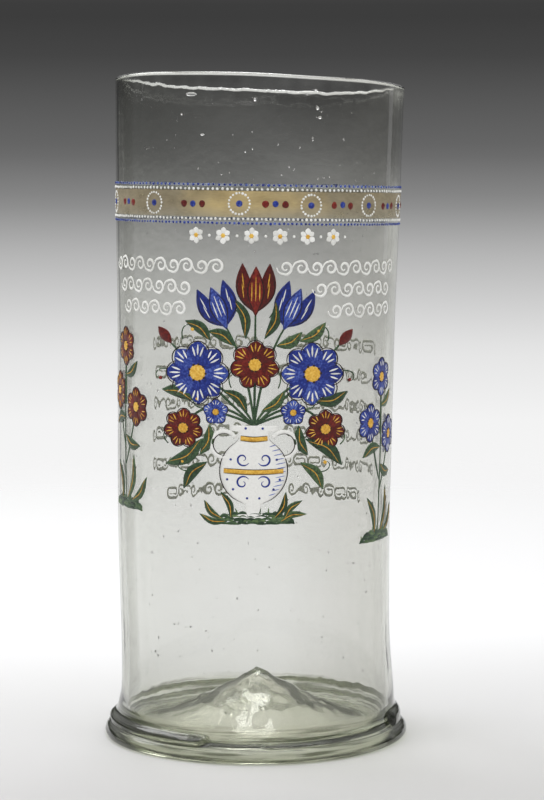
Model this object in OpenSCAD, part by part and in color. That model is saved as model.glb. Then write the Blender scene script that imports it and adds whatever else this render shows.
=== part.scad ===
// Tall blown drinking glass: a near-cylindrical beaker with a kicked-up base, a foot of trailed glass,
// a gilded band edged with enamel pearls, and flowers and flourishes painted in enamel.
// Millimetres, +Z up. The origin is on the table under the axis, and the painted front faces -Y.
// Angles round the wall are in degrees from the front, rising towards +X.

/* [Vessel] */
// Height from the table to the rim
height = 294; // [270:1:320]
// Outer radius at the rim
rim_r = 64.5; // [62:0.1:68]
// Outer radius at the waist, the narrowest place
waist_r = 60.9; // [59:0.1:62]
// Height of the waist
waist_z = 50; // [40:1:80]
// Outer radius where the wall turns in to the base
base_r = 62.6; // [61.5:0.1:64]
// Thickness of the wall
wall = 3; // [2:0.1:4]
// Height at which the wall turns in to the base
heel_z = 12; // [10:0.5:15]
// Clearance of the base above the table
base_lift = 1.2; // [0.5:0.1:2]
// Thickness of the kicked-up base
base_t = 4; // [3:0.1:6]
// Radius at which the kick begins
kick_r = 54; // [48:0.5:57]
// Height of the kick's tip inside the glass
kick_z = 30; // [20:0.5:40]
// Steepening of the kick towards its tip, 1 for a straight cone
kick_power = 1.3; // [1:0.1:2]

/* [Foot] */
// Greatest radius of the foot ring
foot_r = 68.7; // [67.5:0.1:72]
// Height of the foot ring
foot_h = 7.5; // [6:0.1:9]
// Height at which the foot ring is widest
foot_wide_z = 2; // [1:0.1:3]
// How far the foot ring reaches in under the wall
foot_under = 2.6; // [1.5:0.1:5]
// Width of the rounding between the widest place and the flat that the glass stands on
foot_round = 2.8; // [2:0.1:4]
// Width of the shoulder between the widest place and the top, where the trail lies
foot_shoulder = 4.3; // [3:0.1:5]
// Thickness of the upper turn of the trail
trail_d = 5; // [4:0.1:6]
// Depth to which the trail has melted on to the wall and the ring
trail_bite = 1; // [0.6:0.1:1.5]
// Thickness of the blob that ends the trail
blob_d = 6; // [5.5:0.1:7]
// Angle at which the upper turn begins
trail_start = 8; // [0:1:30]
// Angle at which the upper turn ends
trail_end = -18; // [-40:1:-10]

/* [Gilded band] */
// Drop of the middle of the band below the rim
band_drop = 54; // [45:0.5:65]
// Height of the gilding
band_h = 11; // [10.5:0.1:13]
// Thickness of the gilding
gilt_t = 0.12; // [0.08:0.01:0.2]
// Diameter of the white pearls along the band
white_pearl_d = 1.2; // [0.8:0.05:1.6]
// Diameter of the blue pearls outside them
blue_pearl_d = 1.1; // [0.7:0.05:1.4]
// Height of the pearls along the band
pearl_h = 0.4; // [0.2:0.05:0.6]
// Clearance between the gilding and the white pearls
pearl_gap = 0.2; // [0.1:0.05:0.6]
// Clearance between the white pearls and the blue pearls
blue_gap = 0.65; // [0.3:0.05:1]
// Number of white pearls above the band
white_upper = 187; // [150:1:200]
// Number of white pearls below the band
white_lower = 203; // [150:1:210]
// Number of blue pearls above the band
blue_upper = 170; // [150:1:210]
// Number of blue pearls below the band
blue_lower = 209; // [150:1:220]

/* [Medallions] */
// Radius of the pearl ring of a medallion
medallion_r = 4.5; // [3.5:0.1:4.8]
// Number of pearls in the ring
medallion_pearls = 20; // [16:1:24]
// Diameter of these pearls
medallion_pearl_d = 0.95; // [0.75:0.05:1.05]
// Height of these pearls
medallion_pearl_h = 0.35; // [0.2:0.05:0.37]
// Diameter of the blue eye of a medallion
eye_d = 3; // [2:0.1:4]
// Diameter of the red drops between the medallions
red_drop_d = 3; // [2:0.1:3.3]
// Diameter of the blue drop between two red ones
blue_drop_d = 2.7; // [2:0.1:3]
// Distance from the blue drop to a red one
drop_step = 4.4; // [3.5:0.1:5]
// Height of the eyes and drops
drop_h = 0.6; // [0.3:0.05:0.8]

/* [Enamel] */
// Thickness of the painted enamel
enamel_t = 0.4; // [0.2:0.05:0.6]

/* [Daisy row] */
// Drop of the daisies below the middle of the band
daisy_drop = 13.4; // [13:0.1:16]
// Radius of a daisy
daisy_r = 3.6; // [3:0.1:4]
// Number of daisies
daisies = 6; // [3:1:8]
// Number of petals of a daisy
daisy_petals = 6; // [5:1:8]
// Angle of the first daisy
daisy_first = -24; // [-40:1:0]
// Angle from one daisy to the next
daisy_step = 11; // [9:0.5:14]
// Diameter of the dot between two daisies
daisy_dot_d = 1.3; // [0.8:0.1:1.6]

/* [Flourishes] */
// Drop of the first row of flourishes below the middle of the band
flourish_drop = 26.6; // [24:0.1:30]
// Distance from one row to the next in front
flourish_row = 9.2; // [8.5:0.1:12]
// Radius of a curl
curl_r = 2.9; // [2:0.1:3.4]
// Distance from one curl to the next
curl_pitch = 6.9; // [6.8:0.1:9]
// Greatest width of a curl's stroke
curl_w = 1; // [0.6:0.05:1.2]
// Drop of the first row at the back below the middle of the band
back_drop = 66; // [60:1:75]
// Clearance that the rows and the daisies keep from the bouquet
row_gap = 0.8; // [0.5:0.1:2]
// Distance from one row to the next at the back
back_row = 14; // [10:0.5:15]

/* [Bouquet] */
// Drop of the foot of the vase below the middle of the band
bouquet_drop = 134; // [132:1:140]
// Height of the vase
vase_h = 40; // [38:0.5:42]
// Width of the vase's belly
vase_w = 29; // [24:0.5:31]
// Height of the vase's foot
vase_foot_h = 2; // [1:0.1:3]
// Height of the stem between the vase's foot and its belly
vase_stem_h = 4; // [3:0.1:5]
// Height of the vase's lip
lip_h = 2.4; // [1.5:0.1:3]
// Width of the vase's neck
neck_w = 13; // [10:0.5:15]
// Width of the vase's lip
lip_w = 21; // [18:0.5:24]
// Width of the vase's foot
vase_foot_w = 17; // [14:0.5:20]
// Thickness of the vase's handles
handle_w = 1.8; // [1.2:0.1:2.5]
// Outer radius of the vase's handles
handle_r = 6.5; // [5:0.1:7]
// Width of the gilded hoops on the vase
hoop_w = 1.8; // [1:0.1:2.4]
// Drop of the upper hoop below the lip
hoop_drop = 3; // [2:0.1:4]
// Width of a stem
stem_w = 1.1; // [0.8:0.1:1.6]
// Radius of the large blue blossoms
blue_r = 13.5; // [10:0.1:14]
// Radius of the rose in the middle
rose_r = 10.5; // [8:0.1:11]
// Radius of the roses at the sides
side_rose_r = 8.5; // [6:0.1:9]
// Radius of the small blue blossoms
small_r = 5.5; // [4:0.1:6]
// Height of the red tulip at the top
red_tulip_h = 21; // [16:0.5:22]
// Height of the blue tulips
blue_tulip_h = 19; // [14:0.5:20]
// Width of a tulip
tulip_w = 14; // [10:0.5:15]
// Length of a bud
bud_h = 9; // [6:0.5:10]
// Lean of the blue tulips
tulip_lean = 22; // [10:1:30]
// Lean of the buds
bud_lean = 40; // [20:1:60]
// Width of the grassy ground under the vase
ground_w = 36; // [28:1:44]
// Height of the grassy ground
ground_h = 5; // [3:0.5:6]

/* [Side plants] */
// Angle of the plant on the left
left_angle = -66; // [-74:1:-60]
// Angle of the plant on the right
right_angle = 63; // [58:1:72]
// Drop of the ground of the left plant below the middle of the band
left_drop = 134; // [126:1:140]
// Drop of the ground of the right plant below the middle of the band
right_drop = 148; // [140:1:152]
// Height of the left plant
left_h = 78; // [68:1:83]
// Height of the right plant
right_h = 80; // [70:1:86]
// Radius of the blossoms of the side plants
plant_r = 8.5; // [6:0.1:9]
// Width of the ground of a side plant
plant_ground_w = 30; // [24:1:36]

/* [Hidden] */

$fn = 48;

glass_green = [0.75, 0.8, 0.74, 0.5];
gold = [0.72, 0.6, 0.36];
white = [0.93, 0.92, 0.88];
blue = [0.16, 0.25, 0.6];
red = [0.5, 0.1, 0.1];
green = [0.24, 0.42, 0.26];
yellow = [0.87, 0.68, 0.2];

// Steps in which the round stretches of the profile are drawn
arc_steps = 8;
// Lean of the upper wall, which widens in a straight line from the waist to the rim
wall_lean = atan((rim_r - waist_r) / (height - waist_z));

foot_in_r = base_r - foot_under;
foot_flat_r = foot_r - foot_round;
foot_top_r = foot_r - foot_shoulder;

band_z = height - band_drop;
daisy_z = band_z - daisy_drop;
white_offset = band_h / 2 + pearl_gap + white_pearl_d / 2;
blue_offset = white_offset + white_pearl_d / 2 + blue_gap + blue_pearl_d / 2;
bouquet_z = band_z - bouquet_drop;
left_z = band_z - left_drop;
right_z = band_z - right_drop;

// Angles of the medallions, unevenly spaced as they were painted by eye
medallion_angles = [-80, -44, -7, 21, 49, 77, 111, 145, 178, 212, 246];

// Angle of the outer end of each row of flourishes beside the bouquet, from the top row down
left_ends = [-72, -67, -63];
right_ends = [68, 64, 65];
// First angle and number of curls of each row at the back
back_rows = [[114, 9], [122, 8], [116, 9], [120, 8], [114, 9], [124, 7]];
second_back_rows = [[181, 9], [183, 8], [186, 8], [182, 9], [188, 8], [183, 7]];

// Places in the bouquet, from the axis and from the foot of the vase
rose_at = [0, 66];
red_tulip_at = [0, 88];
blue_at = [24.5, 62];
blue_tulip_at = [12.5, 82];
side_rose_at = [30.5, 38];
small_at = [16.5, 45.5];
bud_at = [36, 74];
vase_mouth = [0, vase_h];

// Stems: the point towards which each bends, and its end
stem_routes = [
    [[6, 52], blue_at],
    [[3, 66], blue_tulip_at],
    [[20, 56], side_rose_at],
    [[8, 44], small_at],
    [[26, 64], bud_at]
];

// Leaves: base, tip and width
leaf_shapes = [
    [[3, 46], [13, 55], 4.5],
    [[9, 74], [20, 80], 5],
    [[4, 77], [9, 94], 4.5],
    [[19, 76], [30, 84], 5],
    [[19, 40], [23, 27], 5],
    [[26, 50], [40, 54], 5.5],
    [[22, 34], [38, 22], 6],
    [[20, 24], [30, 12], 5]
];

// Blades of grass under the vase: base, tip and width
blade_shapes = [
    [[9, 2], [14, 14], 3],
    [[13, 2], [21, 10], 3],
    [[11, 1], [23, 4], 3]
];

// Side plants: blossoms, leaves and blades, from the plant's own axis and its ground
plant_blossoms = [[0, -7], [-9, -27], [10, -33]];
plant_leaves = [
    [[0, -20], [11, -13], 4.5],
    [[0, -38], [-14, -42], 5],
    [[0, -46], [13, -50], 5]
];
plant_blades = [
    [[2, 3], [8, 24], 4],
    [[-3, 3], [-10, 20], 4],
    [[6, 3], [18, 15], 4]
];

function lerp(a, b, t) = a + (b - a) * t;
function reversed(list) = [for (i = [len(list) - 1 : -1 : 0]) list[i]];

// Outer radius of the wall: straight from the waist up, flared from the waist down
function wall_r(z) = z > waist_z
    ? lerp(waist_r, rim_r, (z - waist_z) / (height - waist_z))
    : waist_r + (base_r - waist_r) * pow((waist_z - z) / (waist_z - heel_z), 2);

// Levels at which the flared wall has a corner
flare_levels = [for (i = [0 : arc_steps]) lerp(heel_z, waist_z, i / arc_steps)];

// A quarter turn from (r0, z0), where it is level, to (r1, z1), where it is upright
function quarter(r0, z0, r1, z1) = [for (i = [0 : arc_steps])
    let (a = 90 * i / arc_steps) [lerp(r0, r1, sin(a)), lerp(z1, z0, cos(a))]];

// Height of the kick above the base at radius r
function kick(r) = (kick_z - base_lift - base_t) * pow(1 - r / kick_r, kick_power);
kick_radii = [for (i = [0 : arc_steps]) kick_r * i / arc_steps];

outer_line = concat(
    [for (r = kick_radii) [r, base_lift + kick(r)]],
    quarter(kick_r, base_lift, base_r, heel_z),
    [for (z = flare_levels) [wall_r(z), z]]
);

rim_z = height - wall / 2;
rim_line = [for (i = [0 : arc_steps])
    let (a = 180 * i / arc_steps) [wall_r(rim_z) - wall / 2 + wall / 2 * cos(a), rim_z + wall / 2 * sin(a)]];

inner_line = concat(
    [for (z = reversed(flare_levels)) if (z > heel_z + wall) [wall_r(z) - wall, z]],
    reversed(quarter(kick_r, base_lift + base_t, wall_r(heel_z + wall) - wall, heel_z + wall)),
    [for (r = reversed(kick_radii)) [r, base_lift + base_t + kick(r)]]
);

module vessel_section() {
    polygon(concat(outer_line, rim_line, inner_line));
}

// All that lies within the vessel's outside, up to the waist, but for the hollow under the kick
module vessel_core_section() {
    polygon(concat(outer_line, [[0, waist_z]]));
}

module foot_section() {
    difference() {
        polygon(concat(
            [[foot_in_r, 0]],
            quarter(foot_flat_r, 0, foot_r, foot_wide_z),
            reversed(quarter(foot_top_r, foot_h, foot_r, foot_wide_z)),
            [[foot_in_r, foot_h]]
        ));
        vessel_core_section();
    }
}

// The trail's middle line, pressed against the wall and down on to the ring
trail_z = foot_h + trail_d / 2 - trail_bite;
trail_r = base_r + trail_d / 2 - trail_bite;

module trail_place() {
    translate([trail_r, trail_z]) children();
}

module vessel() {
    color(glass_green) rotate_extrude() vessel_section();
}

module foot_ring() {
    color(glass_green) rotate_extrude() foot_section();
}

module foot_trail() {
    color(glass_green) difference() {
        union() {
            rotate([0, 0, trail_start - 90])
                rotate_extrude(angle = 360 + trail_end - trail_start)
                    trail_place() circle(d = trail_d);
            rotate([0, 0, trail_end - 90]) translate([trail_r, 0, trail_z]) sphere(d = blob_d);
        }
        rotate_extrude() vessel_core_section();
        rotate_extrude() foot_section();
    }
}

// A skin over the wall between two heights, from lift to lift + thickness above the glass
module wall_skin(low, high, lift, thickness) {
    levels = concat([low], [for (z = flare_levels) if (z > low && z < high) z], [high]);
    rotate_extrude() polygon(concat(
        [for (z = levels) [wall_r(z) + lift, z]],
        [for (z = reversed(levels)) [wall_r(z) + lift + thickness, z]]
    ));
}

// Lays a drawing on the wall at an angle. The drawing has x to the right and y as the height.
module lay(angle, low, high, lift = 0) {
    intersection() {
        wall_skin(low, high, lift, enamel_t);
        rotate([0, 0, angle]) rotate([90, 0, 0]) linear_extrude(height = rim_r + base_r) children();
    }
}

// Carries a solid that stands on the ground plane out to the wall
module stand_on_wall(angle, z, lift = 0) {
    rotate([0, 0, angle]) translate([0, -wall_r(z) - lift, z]) rotate([90 + wall_lean, 0, 0]) children();
}

// A drop of enamel: a ball cut off flat where it is d across and stands h high
module drop(d, h) {
    ball_r = (d * d / 4 + h * h) / (2 * h);
    intersection() {
        translate([0, 0, h - ball_r]) sphere(r = ball_r);
        cylinder(r = 2 * ball_r, h = 2 * h);
    }
}

module pearl_row(count, z, d) {
    for (i = [0 : count - 1]) stand_on_wall(360 * i / count, z) drop(d, pearl_h);
}

// Angle that a short way x along the wall takes up at the band
function band_angle(x) = x / wall_r(band_z) * 180 / PI;

drop_angles = [for (i = [0 : len(medallion_angles) - 1])
    i + 1 < len(medallion_angles)
        ? (medallion_angles[i] + medallion_angles[i + 1]) / 2
        : (medallion_angles[i] + medallion_angles[0] + 360) / 2];

module gilt_band() {
    color(gold) wall_skin(band_z - band_h / 2, band_z + band_h / 2, 0, gilt_t);
}

module white_pearls_upper() {
    color(white) pearl_row(white_upper, band_z + white_offset, white_pearl_d);
}

module white_pearls_lower() {
    color(white) pearl_row(white_lower, band_z - white_offset, white_pearl_d);
}

module blue_pearls_upper() {
    color(blue) pearl_row(blue_upper, band_z + blue_offset, blue_pearl_d);
}

module blue_pearls_lower() {
    color(blue) pearl_row(blue_lower, band_z - blue_offset, blue_pearl_d);
}

module medallion_pearls() {
    color(white) for (angle = medallion_angles, i = [0 : medallion_pearls - 1]) {
        a = 360 * i / medallion_pearls;
        stand_on_wall(angle + band_angle(medallion_r * cos(a)), band_z + medallion_r * sin(a), gilt_t)
            drop(medallion_pearl_d, medallion_pearl_h);
    }
}

module medallion_eyes() {
    color(blue) for (angle = medallion_angles) stand_on_wall(angle, band_z, gilt_t) drop(eye_d, drop_h);
}

module red_drops() {
    color(red) for (angle = drop_angles, side = [-1, 1])
        stand_on_wall(angle + side * band_angle(drop_step), band_z, gilt_t) drop(red_drop_d, drop_h);
}

module blue_drops() {
    color(blue) for (angle = drop_angles) stand_on_wall(angle, band_z, gilt_t) drop(blue_drop_d, drop_h);
}

module both_sides() {
    children();
    mirror([1, 0]) children();
}

// A leaf between two points, bounded by two arcs
module leaf(from, to, width) {
    along = to - from;
    length = norm(along);
    arc_r = (length * length + width * width) / (4 * width);
    translate((from + to) / 2) rotate(atan2(along[1], along[0])) intersection_for (side = [-1, 1])
        translate([0, side * (arc_r - width / 2)]) circle(r = arc_r);
}

// Petals of the roses, the large blue blossoms, the small ones and the side plants' blossoms
rose_petals = 7;
blue_petals = 8;
small_petals = 5;
plant_petals = 6;

// A round blossom of overlapping petals, each taking up a share of its radius
petal_share = 0.38;
module blossom(r, petals) {
    circle(r = r * (1 - petal_share));
    for (i = [0 : petals - 1])
        rotate(90 + 360 * i / petals) translate([r * (1 - petal_share), 0]) circle(r = r * petal_share);
}

// The part of a blossom's radius that its heart takes up
heart_share = 0.3;
module heart(r) {
    circle(r = r * heart_share);
}

// A tulip seen from the side, with two leaning petals and between them one that is set lower
tulip_lean_share = 0.42;
tulip_set_share = 0.06;
module tulip(h, w) {
    both_sides() leaf([0, 0], [w * tulip_lean_share, h], w / 2);
    translate([0, -h * tulip_set_share]) leaf([0, 0], [0, h], w / 2);
}

// A brush stroke along points, with its width at each
function stroke_normal(p, i) = let (
    d = p[min(i + 1, len(p) - 1)] - p[max(i - 1, 0)]
) [-d[1], d[0]] / norm(d);
function stroke_side(p, w, side) = [for (i = [0 : len(p) - 1]) p[i] + side * w[i] / 2 * stroke_normal(p, i)];
module stroke(points, widths) {
    polygon(concat(stroke_side(points, widths, 1), reversed(stroke_side(points, widths, -1))));
}

function bend(a, b, c) = [for (i = [0 : arc_steps])
    let (t = i / arc_steps) (1 - t) * (1 - t) * a + 2 * t * (1 - t) * b + t * t * c];

module stem(from, via, to) {
    stroke(bend(from, via, to), [for (i = [0 : arc_steps]) stem_w]);
}

// A curl: a tail that branches from the side of the curl before it, then a spiral that winds inwards
tail_steps = 2;
curl_steps = 10;
curl_turn = 410;
curl_close = 0.72;
tip_share = 0.4;
curl_points = concat(
    [for (i = [0 : tail_steps - 1])
        let (a = 90 * i / tail_steps)
        [(curl_r - curl_pitch) * cos(a), -curl_r * sin(a)]],
    [for (i = [0 : curl_steps])
        let (t = i / curl_steps, a = curl_turn * t - 90, r = curl_r * (1 - curl_close * t))
        [r * cos(a), r * sin(a)]]
);
curl_widths = [for (i = [0 : len(curl_points) - 1])
    let (t = i / (len(curl_points) - 1)) curl_w * lerp(tip_share, 1, sin(180 * t))];

function flourish_angle(z) = curl_pitch / wall_r(z) * 180 / PI;

// Discs that hold the flowers and leaves of the bouquet's upper part: middle and radius
function leaning_disc(at, h, lean) = [at[0] + h / 2 * sin(lean), at[1] + h / 2 * cos(lean), h / 2];
bouquet_discs = concat(
    [
        leaning_disc(red_tulip_at, red_tulip_h, 0),
        leaning_disc(blue_tulip_at, blue_tulip_h, tulip_lean),
        leaning_disc(bud_at, bud_h, bud_lean),
        [blue_at[0], blue_at[1], blue_r]
    ],
    [for (shape = leaf_shapes)
        let (middle = (shape[0] + shape[1]) / 2) [middle[0], middle[1], norm(shape[1] - shape[0]) / 2]]
);

// Angle within which the bouquet leaves no room at a height for what needs the given clearance
function disc_reach(disc, y, clear) = abs(y - disc[1]) < disc[2] + clear
    ? disc[0] + sqrt(pow(disc[2] + clear, 2) - pow(y - disc[1], 2))
    : 0;
function taken_angle(z, clear) =
    asin(max([for (disc = bouquet_discs) disc_reach(disc, z - bouquet_z, clear)]) / wall_r(z));

// A vine of curls that wind up and down by turns
module vine(first, count, z) {
    for (i = [0 : count - 1])
        lay(first + i * flourish_angle(z), z - 2 * curl_r, z + 2 * curl_r)
            translate([0, z]) mirror([0, i % 2]) stroke(curl_points, curl_widths);
}

module flourishes(rows, top_z, step) {
    for (i = [0 : len(rows) - 1]) vine(rows[i][0], rows[i][1], top_z - i * step);
}

// As many curls as fit between a row's outer end and the bouquet
front_z = band_z - flourish_drop;
function row_count(end, z) =
    floor((abs(end) - taken_angle(z, curl_r + row_gap)) / flourish_angle(z)) + 1;
left_rows = [for (i = [0 : len(left_ends) - 1])
    [left_ends[i], row_count(left_ends[i], front_z - i * flourish_row)]];
right_rows = [for (i = [0 : len(right_ends) - 1])
    let (z = front_z - i * flourish_row, count = row_count(right_ends[i], z))
    [right_ends[i] - (count - 1) * flourish_angle(z), count]];

// The daisies part where the bouquet reaches up among them
daisy_part = taken_angle(daisy_z, daisy_r + row_gap);
function daisy_angle(i) =
    let (angle = daisy_first + i * daisy_step) angle + sign(angle) * daisy_part;

module daisy_row() {
    color(white) for (i = [0 : daisies - 1]) {
        lay(daisy_angle(i), daisy_z - 2 * daisy_r, daisy_z + 2 * daisy_r)
            translate([0, daisy_z]) blossom(daisy_r, daisy_petals);
        stand_on_wall(daisy_angle(i + 0.5), daisy_z) drop(daisy_dot_d, pearl_h);
    }
}

module flourishes_left() {
    color(white) flourishes(left_rows, front_z, flourish_row);
}

module flourishes_right() {
    color(white) flourishes(right_rows, front_z, flourish_row);
}

module flourishes_back() {
    color(white) {
        flourishes(back_rows, band_z - back_drop, back_row);
        flourishes(second_back_rows, band_z - back_drop, back_row);
    }
}

// The bouquet's drawings, from the axis and the foot of the vase

belly_r = vase_w / 2;
belly_z = vase_foot_h + vase_stem_h + belly_r;
hoop_levels = [belly_z, vase_h - lip_h - hoop_drop];

module centred_bar(w, low, high) {
    translate([-w / 2, low]) square([w, high - low]);
}

module vase_drawing() {
    centred_bar(vase_foot_w, 0, vase_foot_h);
    centred_bar(neck_w / 2, 0, belly_z);
    translate([0, belly_z]) circle(r = belly_r);
    centred_bar(neck_w, belly_z, vase_h);
    centred_bar(lip_w, vase_h - lip_h, vase_h);
    both_sides() translate([belly_r - handle_w, belly_z + belly_r - handle_r / 2]) difference() {
        circle(r = handle_r);
        circle(r = handle_r - handle_w);
    }
}

module red_drawing() {
    translate(rose_at) blossom(rose_r, rose_petals);
    translate(red_tulip_at) tulip(red_tulip_h, tulip_w);
    both_sides() {
        translate(side_rose_at) blossom(side_rose_r, rose_petals);
        translate(bud_at) rotate(-bud_lean) leaf([0, 0], [0, bud_h], bud_h / 2);
    }
}

module blue_drawing() {
    both_sides() {
        translate(blue_at) blossom(blue_r, blue_petals);
        translate(blue_tulip_at) rotate(-tulip_lean) tulip(blue_tulip_h, tulip_w);
        translate(small_at) blossom(small_r, small_petals);
    }
}

module heart_drawing() {
    translate(rose_at) heart(rose_r);
    both_sides() {
        translate(side_rose_at) heart(side_rose_r);
        translate(blue_at) heart(blue_r);
        translate(small_at) heart(small_r);
    }
}

module leaf_drawing() {
    both_sides() for (shape = leaf_shapes) leaf(shape[0], shape[1], shape[2]);
}

module stem_drawing() {
    stem(vase_mouth, (vase_mouth + red_tulip_at) / 2, red_tulip_at);
    both_sides() for (route = stem_routes) stem(vase_mouth, route[0], route[1]);
}

module ground_drawing(w, h) {
    arc_r = (w * w / 4 + h * h) / (2 * h);
    intersection() {
        translate([0, h - arc_r]) circle(r = arc_r);
        centred_bar(w, 0, h);
    }
}

module lay_bouquet(lift = 0) {
    lay(0, bouquet_z - ground_h, band_z, lift) translate([0, bouquet_z]) children();
}

module vase() {
    color(white) lay_bouquet() difference() {
        vase_drawing();
        blue_drawing();
        red_drawing();
    }
}

module vase_hoops() {
    color(gold) lay_bouquet(enamel_t) intersection() {
        vase_drawing();
        for (z = hoop_levels) centred_bar(vase_w - 2 * handle_w, z - hoop_w / 2, z + hoop_w / 2);
    }
}

module ground() {
    color(green) lay_bouquet() difference() {
        translate([0, -ground_h / 2]) {
            ground_drawing(ground_w, ground_h);
            both_sides() for (shape = blade_shapes) leaf(shape[0], shape[1], shape[2]);
        }
        vase_drawing();
    }
}

module stems() {
    color(green) lay_bouquet() difference() {
        stem_drawing();
        leaf_drawing();
        vase_drawing();
        blue_drawing();
        red_drawing();
    }
}

module leaves() {
    color(green) lay_bouquet() difference() {
        leaf_drawing();
        vase_drawing();
        blue_drawing();
        red_drawing();
    }
}

module blue_flowers() {
    color(blue) lay_bouquet() difference() {
        blue_drawing();
        red_drawing();
        heart_drawing();
    }
}

module red_flowers() {
    color(red) lay_bouquet() difference() {
        red_drawing();
        heart_drawing();
    }
}

module flower_hearts() {
    color(yellow) {
        lay_bouquet() heart_drawing();
        lay_plant(left_angle, left_z, left_h) plant_heart_drawing(left_h);
        lay_plant(right_angle, right_z, right_h) plant_heart_drawing(right_h);
    }
}

// The side plants' drawings, from the plant's axis and its ground

module lay_plant(angle, z, h) {
    lay(angle, z, z + h + plant_r) translate([0, z]) children();
}

module plant_blossom_drawing(h) {
    for (at = plant_blossoms) translate([at[0], h + at[1]]) blossom(plant_r, plant_petals);
}

module plant_heart_drawing(h) {
    for (at = plant_blossoms) translate([at[0], h + at[1]]) heart(plant_r);
}

module plant_leaf_drawing(h) {
    for (shape = plant_leaves) leaf(shape[0] + [0, h], shape[1] + [0, h], shape[2]);
    for (at = plant_blossoms) {
        low = h + at[1] - 2 * plant_r;
        stem([0, low - plant_r], [at[0] / 2, low], [at[0], h + at[1]]);
    }
    centred_bar(stem_w, ground_h, h);
}

module plant_ground_drawing() {
    ground_drawing(plant_ground_w, ground_h);
    for (shape = plant_blades) leaf(shape[0], shape[1], shape[2]);
}

module plant_ground(angle, z, h) {
    color(green) lay_plant(angle, z, h) plant_ground_drawing();
}

module plant_greenery(angle, z, h) {
    color(green) lay_plant(angle, z, h) difference() {
        plant_leaf_drawing(h);
        plant_blossom_drawing(h);
        plant_ground_drawing();
    }
}

module plant_flowers(angle, z, h, shade) {
    color(shade) lay_plant(angle, z, h) difference() {
        plant_blossom_drawing(h);
        plant_heart_drawing(h);
    }
}

module left_ground() {
    plant_ground(left_angle, left_z, left_h);
}

module left_leaves() {
    plant_greenery(left_angle, left_z, left_h);
}

module left_flowers() {
    plant_flowers(left_angle, left_z, left_h, red);
}

module right_ground() {
    plant_ground(right_angle, right_z, right_h);
}

module right_leaves() {
    plant_greenery(right_angle, right_z, right_h);
}

module right_flowers() {
    plant_flowers(right_angle, right_z, right_h, blue);
}

vessel();
foot_ring();
foot_trail();
gilt_band();
white_pearls_upper();
white_pearls_lower();
blue_pearls_upper();
blue_pearls_lower();
medallion_pearls();
medallion_eyes();
red_drops();
blue_drops();
daisy_row();
flourishes_left();
flourishes_right();
flourishes_back();
vase();
vase_hoops();
ground();
stems();
leaves();
blue_flowers();
red_flowers();
flower_hearts();
left_ground();
left_leaves();
left_flowers();
right_ground();
right_leaves();
right_flowers();
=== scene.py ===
import random
from math import cos, degrees, pi, radians, sin, sqrt

import bpy
import numpy as np
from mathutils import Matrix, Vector


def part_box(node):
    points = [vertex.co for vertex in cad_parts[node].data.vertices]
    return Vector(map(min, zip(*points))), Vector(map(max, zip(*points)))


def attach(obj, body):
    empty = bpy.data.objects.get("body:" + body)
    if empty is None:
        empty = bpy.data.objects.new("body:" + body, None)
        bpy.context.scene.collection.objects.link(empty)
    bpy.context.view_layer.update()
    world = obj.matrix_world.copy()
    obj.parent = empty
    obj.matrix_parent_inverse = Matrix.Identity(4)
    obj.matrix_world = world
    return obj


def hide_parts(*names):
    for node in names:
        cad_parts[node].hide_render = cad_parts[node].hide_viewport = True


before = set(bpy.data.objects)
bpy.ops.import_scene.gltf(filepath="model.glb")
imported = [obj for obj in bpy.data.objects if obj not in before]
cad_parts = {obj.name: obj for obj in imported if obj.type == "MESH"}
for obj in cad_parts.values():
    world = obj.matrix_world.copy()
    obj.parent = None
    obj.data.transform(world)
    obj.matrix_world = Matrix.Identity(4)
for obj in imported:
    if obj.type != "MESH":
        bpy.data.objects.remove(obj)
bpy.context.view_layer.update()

mm = 0.001
dice = random.Random(12)
roll = dice.uniform
print("frame loaded,", len(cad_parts), "nodes")


# small helpers for working as by hand

def selectOnly(*objs):
    bpy.ops.object.select_all(action="DESELECT")
    for obj in objs:
        obj.select_set(True)
    bpy.context.view_layer.objects.active = objs[0]


def startEditing(obj):
    selectOnly(obj)
    bpy.ops.object.mode_set(mode="EDIT")
    bpy.ops.mesh.select_all(action="SELECT")


def stopEditing():
    bpy.ops.object.mode_set(mode="OBJECT")
    bpy.ops.object.shade_smooth()
    return bpy.context.active_object


def readPoints(obj):
    flat = np.empty(len(obj.data.vertices) * 3)
    obj.data.vertices.foreach_get("co", flat)
    return flat.reshape(-1, 3)


def writePoints(obj, points):
    obj.data.vertices.foreach_set("co", np.ascontiguousarray(points, dtype=np.float32).ravel())
    obj.data.update()


def copyOf(obj):
    copy = obj.copy()
    copy.data = obj.data.copy()
    bpy.context.collection.objects.link(copy)
    return copy


def joinAll(objs, name):
    selectOnly(*objs)
    bpy.ops.object.join()
    joined = bpy.context.active_object
    joined.name = name
    joined.data.name = name
    return joined


def begin(addPrimitive, **setting):
    # a new primitive, open for shaping
    addPrimitive(**setting)
    startEditing(bpy.context.active_object)


def closeShape():
    bpy.ops.mesh.select_all(action="SELECT")
    bpy.ops.mesh.normals_make_consistent(inside=False)
    return stopEditing()


def finishPiece(obj, material, slot, *nodes):
    obj.data.materials.append(material)
    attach(obj, "root")
    if nodes:
        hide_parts(*nodes)


def smoothStep(low, high, value):
    t = np.clip((value - low) / (high - low), 0, 1)
    return t * t * (3 - 2 * t)


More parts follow.
